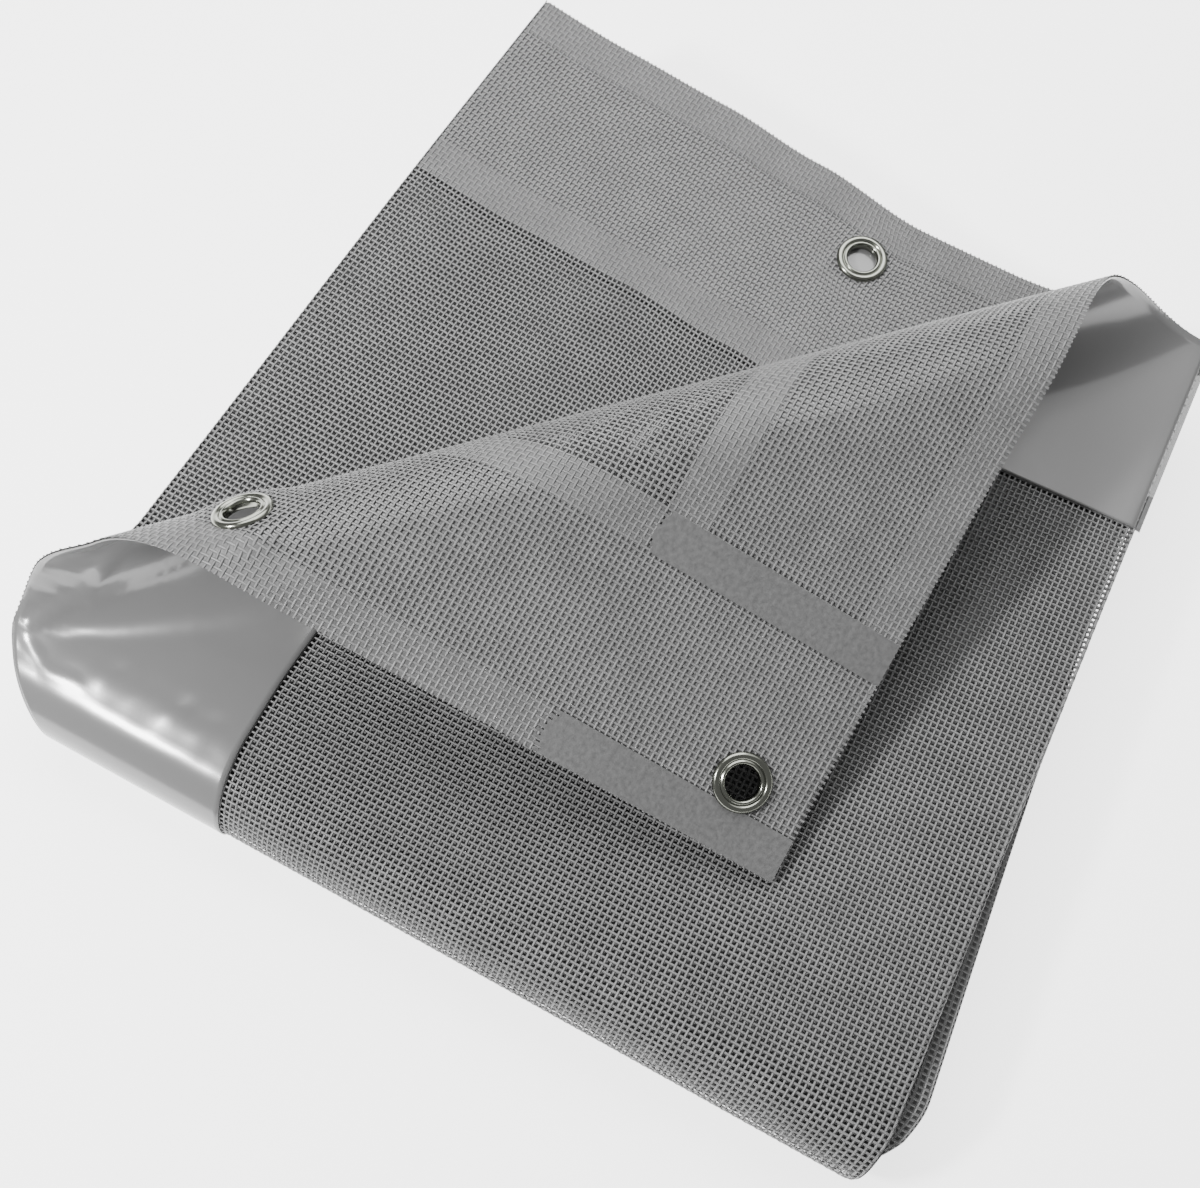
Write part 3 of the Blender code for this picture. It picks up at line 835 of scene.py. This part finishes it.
def woven_piece(name, tree, guide, start, cells, skip, finish):
    """One piece of woven mesh, from a cell number to another both ways."""
    carrier = bpy.data.objects.new(name + " grid", bpy.data.meshes.new(name + " grid"))
    bpy.context.scene.collection.objects.link(carrier)
    weave = carrier.modifiers.new("Plain weave", "NODES")
    weave.node_group = tree
    values = {
        "Folded sheet": guide,
        "Start": (start[0] * MM, start[1] * MM, 0.0),
        "Columns": cells[0],
        "Rows": cells[1],
        "First column": skip[0],
        "First row": skip[1],
        "Pitch": WEAVE_PITCH * MM,
        "Yarn width": YARN_WIDTH * MM,
        "Yarn thickness": YARN_THICK * MM,
        "Crimp": CRIMP * MM,
        "Waver": WAVER * MM,
        "Finish": finish,
    }
    for item in tree.interface.items_tree:
        if item.name in values and item.in_out == "INPUT":
            weave[item.identifier] = values[item.name]
    graph = bpy.context.evaluated_depsgraph_get()
    mesh = bpy.data.meshes.new_from_object(carrier.evaluated_get(graph), depsgraph=graph)
    mesh.name = name
    bpy.data.objects.remove(carrier)
    piece = bpy.data.objects.new(name, mesh)
    bpy.context.scene.collection.objects.link(piece)
    return piece


def trimmed(values, low, high):
    """The values inside a range, each once, with the range's own ends."""
    values = np.unique(values)
    inside = values[(values > low + LEAST_STEP) & (values < high - LEAST_STEP)]
    return np.concatenate([[low], inside, [high]])


def along_panel(low, high):
    """Values of u for a sheet: wide steps on the flat plies, short ones round their folds."""
    values = [
        spaced(EDGE_INSET, STRIP_WIDTH, GRID_STEPS["strip"]),
        spaced(STRIP_WIDTH, SPANS[0][1], GRID_STEPS["top"]),
    ]
    for k, (start, end) in enumerate(SPANS[1:], 1):
        step = GRID_STEPS["second"] if k == 1 else GRID_STEPS["inner"]
        values.append(np.linspace(SPANS[k - 1][1], start, POINTS_ROUND_FOLD)[1:-1])
        values.append(spaced(start, min(end, NET_LENGTH - EDGE_INSET), step))
    return trimmed(np.concatenate(values), low, high)


def across_panel(low, high):
    """Values of v for a sheet: short steps where the front turn bends it."""
    bend_start = TURN_START - TURN_MARGIN["before"]
    bend_end = TURN_END + TURN_MARGIN["after"]
    values = [
        spaced(EDGE_INSET, bend_start, GRID_STEPS["top"]),
        spaced(bend_start, bend_end, GRID_STEPS["turn"]),
        spaced(bend_end, NET_HEIGHT - EDGE_INSET, GRID_STEPS["inner"]),
    ]
    return trimmed(np.concatenate(values), low, high)


def strip_piece(name, u_range, v_range, finish, keep):
    """A smooth border strip, as a thin slab behind the weave."""
    mesh = panel_mesh(name, along_panel(*u_range), across_panel(*v_range), STRIP_MIDDLE, keep)
    piece = link_piece(name, mesh, finish)
    slab = piece.modifiers.new("Strip thickness", "SOLIDIFY")
    slab.thickness = STRIP_THICK * MM
    slab.offset = 0.0
    return piece


def eyelet_section():
    """Section of the eyelet as radius and height: domed flange, groove, rolled neck and washer."""
    return [
        (7.8, -2.5), (7.7, -1.5), (7.75, 0.0), (7.95, 1.0), (8.45, 1.75), (9.0, 2.0), (9.55, 1.85),
        (9.9, 1.35), (10.15, 1.3), (10.5, 1.75), (11.1, 2.1), (11.9, 2.2), (12.7, 2.0),
        (13.3, 1.5), (13.65, 0.9), (13.75, 0.4), (13.5, 0.25), (9.5, 0.3), (8.3, 0.2),
        (8.2, -1.3), (9.0, -1.4), (12.9, -1.4), (13.3, -1.65), (13.0, -2.0), (10.0, -2.4),
        (8.8, -2.8), (8.1, -2.8),
    ]


def eyelet_piece(row, finish):
    """A stamped eyelet, turned round its axis and clamped on the panel."""
    middle, along, down, normal = frame_at(panel_point, np.array([row["u"]]), np.array([row["v"]]))
    section = np.array(eyelet_section())
    turns = 2 * math.pi * np.arange(EYELET_SIDES) / EYELET_SIDES
    out = np.cos(turns)[:, None] * along[0] + np.sin(turns)[:, None] * down[0]
    points = middle[0] + out[:, None] * section[None, :, :1] + normal[0] * section[None, :, 1:]
    size = len(section)
    faces = []
    for i in range(EYELET_SIDES):
        here, there = i * size, (i + 1) % EYELET_SIDES * size
        for j in range(size):
            k = (j + 1) % size
            faces.append((here + j, here + k, there + k, there + j))
    mesh = bpy.data.meshes.new(row["name"])
    mesh.from_pydata(in_frame(points.reshape(-1, 3)).tolist(), [], faces)
    mesh.shade_smooth()
    mesh.set_sharp_from_angle(angle=EYELET_SHARP)
    return link_piece(row["name"] + "_turned", mesh, finish)


def outside_eyelets(u, v):
    """Everything but the holes that the eyelets are set in."""
    return away_from_eyelets(u, v) > HOLE_RADIUS


def past_the_roll(u, v):
    """How far a point of the lower plies shows, in plan, beyond the line where the roll starts."""
    place = smooth_point(u, v)
    return beyond_roll(place[:, 0] - LEFT_EDGE_X, BACK_EDGE_Y - place[:, 1])


def in_second_ply(u, v):
    """The part of the second ply that shows past the rolled corner."""
    return (past_the_roll(u, v) > UNDER_ROLL["woven"]) & outside_eyelets(u, v)


def in_inner_plies(u, v):
    """Everything that the woven pieces leave over."""
    second = (u > SPANS[1][0]) & (u < SECOND_FOLD) & (v < TURN_START)
    top = (u < FIRST_FOLD) & (v < TURN_END)
    return ~top & ~(second & (past_the_roll(u, v) > UNDER_ROLL["films"]))


def in_corner_bars(u, v):
    """Bands across the corner, where two strips are welded and the weave is pressed smooth."""
    outer = u < WELD_WIDTH
    inner = (u > STRIP_WIDTH - WELD_WIDTH) & (u < STRIP_WIDTH)
    off_shoulder = np.minimum(u - BAR_END["shoulder"], STRIP_WIDTH - BAR_END["shoulder"] - u)
    ragged = BAR_END["ragged"] * np.sin(BAR_END["turns"] * u)
    end = STRIP_WIDTH + ragged - BAR_END["rounding"] * off_shoulder**2
    return (outer | inner) & (v < end) & (away_from_eyelets(u, v) > EYELET_CLEAR)


def in_weld_bands(u, v):
    """The lighter welds along both edges of a strip, where the weave still shows."""
    along_end = (u < WELD_WIDTH) | ((u > STRIP_WIDTH - WELD_WIDTH) & (u < STRIP_WIDTH))
    along_top = (v < WELD_WIDTH) | ((v > STRIP_WIDTH - WELD_WIDTH) & (v < STRIP_WIDTH))
    bands = (along_end & (v > STRIP_WIDTH)) | (along_top & (u > STRIP_WIDTH))
    return bands & (away_from_eyelets(u, v) > EYELET_CLEAR)


def in_second_ply_bands(u, v):
    """The weld bands of the second ply that show past the rolled corner."""
    return in_weld_bands(u, v) & (past_the_roll(u, v) > UNDER_ROLL["films"])


def bands_at(low, high, step):
    """Evenly spaced values with a line of them on each edge of a weld band."""
    edges = [edge for edge in BAND_EDGES if low < edge < high]
    return np.unique(np.concatenate([spaced(low, high, step), edges]))


def weld_pieces(finish):
    """Thin films of melted coating that fill the weave along the strips' edges."""
    corner = bands_at(0.0, STRIP_WIDTH + BAR_END["reach"], BAND_STEPS["corner"])
    flap_u = bands_at(0.0, SPANS[0][1], BAND_STEPS["edges"])
    flap_v = bands_at(0.0, SECOND_PLY_BACK, BAND_STEPS["edges"])
    second_u = spaced(*SPANS[1], BAND_STEPS["second"])
    second_v = bands_at(0.0, STRIP_WIDTH, BAND_STEPS["edges"])
    return [
        link_piece(name, panel_mesh(name, us, vs, off, keep), finish)
        for name, us, vs, off, keep in (
            ("weld_bars_corner", corner, corner, WELD_PRESSED, in_corner_bars),
            ("weld_bands_flap", flap_u, flap_v, WELD_TEXTURED, in_weld_bands),
            ("weld_bands_second_ply", second_u, second_v, WELD_TEXTURED, in_second_ply_bands),
        )
    ]


def woven_parts(name, tree, guide, first_column, columns, parts, skip, finish):
    """A woven ply as a few pieces, one after another from its back edge."""
    start_u = -EDGE_STUB + first_column * WEAVE_PITCH
    return [
        woven_piece(
            f"{name}_{part + 1}",
            tree,
            guide,
            (start_u, -EDGE_STUB + part * parts["rows"] * WEAVE_PITCH),
            (columns, parts["rows"]),
            skip,
            finish,
        )
        for part in range(parts["count"])
    ]


def build_cloth(yarn, inner):
    """The net: woven pieces where its weave shows, and one thin sheet for all the rest."""
    tree = weave_tree()
    name = "top ply guide"
    us = spaced(-GUIDE_MARGIN, TOP_END, GUIDE_STEP)
    vs = spaced(-GUIDE_MARGIN, TURN_END + GUIDE_MARGIN, GUIDE_STEP)
    guide = link_piece(name, panel_mesh(name, us, vs, 0.0, outside_eyelets), yarn)
    columns = int((TOP_END + EDGE_STUB) / WEAVE_PITCH)
    woven = woven_parts("woven_top_ply", tree, guide, 0, columns, TOP_PLY_PARTS, (1, 1), yarn)
    bpy.data.objects.remove(guide)

    name = "second ply guide"
    us = spaced(SPANS[1][0] - WOVEN_LAP, SECOND_END, GUIDE_STEP)
    vs = spaced(-GUIDE_MARGIN, SECOND_PLY_BACK, GUIDE_STEP)
    guide = link_piece(name, panel_mesh(name, us, vs, 0.0, in_second_ply), yarn)
    # an even column, so that the yarns go over and under as they do on the top ply
    first = math.floor((SPANS[1][0] - SECOND_PLY_ENDS["lead"]) / (2 * WEAVE_PITCH)) * 2
    columns = int((SECOND_END - first * WEAVE_PITCH) / WEAVE_PITCH)
    woven += woven_parts(
        "woven_second_ply", tree, guide, first, columns, SECOND_PLY_PARTS, (0, 1), yarn
    )
    bpy.data.objects.remove(guide)

    us = along_panel(0.0, NET_LENGTH)
    vs = across_panel(0.0, NET_HEIGHT)
    rest = panel_mesh("folded_inner_plies", us, vs, 0.0, in_inner_plies)
    return link_piece("folded_inner_plies", rest, inner), woven


def strip_pieces(finish):
    """The four border strips. Those along the edges end where the ones along the ends start."""
    along = (STRIP_WIDTH + EDGE_INSET, NET_LENGTH - STRIP_WIDTH - EDGE_INSET)
    whole_height = (EDGE_INSET, NET_HEIGHT - EDGE_INSET)
    return [
        strip_piece(name, u_range, v_range, finish, keep)
        for name, u_range, v_range, keep in (
            ("border_strip_left_end", (EDGE_INSET, STRIP_WIDTH), whole_height, outside_eyelets),
            ("border_strip_top_edge", along, (EDGE_INSET, STRIP_WIDTH), outside_eyelets),
            (
                "border_strip_bottom_edge",
                along,
                (NET_HEIGHT - STRIP_WIDTH, NET_HEIGHT - EDGE_INSET),
                None,
            ),
            (
                "border_strip_right_end",
                (NET_LENGTH - STRIP_WIDTH, NET_LENGTH - EDGE_INSET),
                whole_height,
                None,
            ),
        )
    ]


def studio():
    """A pale floor and soft light from above."""
    corners = [(-1, -1), (1, -1), (1, 1), (-1, 1)]
    floor_mesh = bpy.data.meshes.new("floor")
    floor_mesh.from_pydata(
        [(x * FLOOR_HALF, y * FLOOR_HALF, -FLOOR_DROP) for x, y in corners], [], [(0, 1, 2, 3)]
    )
    paper, _, shader = new_finish("Matt white paper floor")
    shader.inputs["Base Color"].default_value = linear("#f4f4f4")
    shader.inputs["Roughness"].default_value = 0.9
    # the sheet is lit from behind as well, as on a packshot table
    shader.inputs["Emission Color"].default_value = linear("#ffffff")
    shader.inputs["Emission Strength"].default_value = FLOOR_GLOW
    floor = link_piece("floor", floor_mesh, paper)

    world = bpy.data.worlds.new("soft studio")
    bpy.context.scene.world = world
    world.use_nodes = True
    room = world.node_tree.nodes["Background"]
    room.inputs["Color"].default_value = linear("#ffffff")
    room.inputs["Strength"].default_value = ROOM_GLOW

    for row in LAMPS:
        lamp = bpy.data.lights.new(row["name"], "AREA")
        lamp.size = row["size"]
        lamp.energy = row["watts"]
        light = bpy.data.objects.new(row["name"], lamp)
        place = Vector(row["place"])
        light.location = place
        light.rotation_euler = (Vector(LAMP_TARGET) - place).to_track_quat("-Z", "Y").to_euler()
        bpy.context.scene.collection.objects.link(light)


def photo_camera():
    """The camera at the place, turn and lens that the photograph was taken with."""
    level = math.cos(CAMERA_ELEVATION)
    back = Vector(
        (
            level * math.sin(CAMERA_AZIMUTH),
            -level * math.cos(CAMERA_AZIMUTH),
            math.sin(CAMERA_ELEVATION),
        )
    )
    side = Vector((math.cos(CAMERA_AZIMUTH), math.sin(CAMERA_AZIMUTH), 0.0))
    up = back.cross(side)
    turned_side = side * math.cos(CAMERA_ROLL) + up * math.sin(CAMERA_ROLL)
    turned_up = up * math.cos(CAMERA_ROLL) - side * math.sin(CAMERA_ROLL)
    lens = bpy.data.cameras.new("photo camera")
    lens.sensor_fit = "HORIZONTAL"
    lens.sensor_width = SENSOR_WIDTH
    lens.lens = SENSOR_WIDTH * FOCAL_PX / PHOTO_WIDTH_PX
    lens.clip_start = 0.01
    camera = bpy.data.objects.new("photo camera", lens)
    place = Vector(in_frame(np.array(back) * CAMERA_DISTANCE))
    turn = Matrix((turned_side, turned_up, back)).transposed().to_4x4()
    camera.matrix_world = Matrix.Translation(place) @ turn
    bpy.context.scene.collection.objects.link(camera)
    bpy.context.scene.camera = camera


def main():
    nickel = nickel_finish()
    rest, cloth = build_cloth(yarn_finish(), drawn_weave_finish())
    cloth += weld_pieces(weld_finish())
    strips = strip_pieces(strip_finish())
    eyelets = [eyelet_piece(row, nickel) for row in EYELETS]

    for piece in [rest, *cloth, *strips, *eyelets]:
        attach(piece, "root")
    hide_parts("net_mesh")
    for piece, node in zip(strips, ("strip_left", "strip_top", "strip_bottom", "strip_right")):
        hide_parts(node)
    for piece, row in zip(eyelets, EYELETS):
        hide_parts(row["name"])
    studio()
    photo_camera()


main()
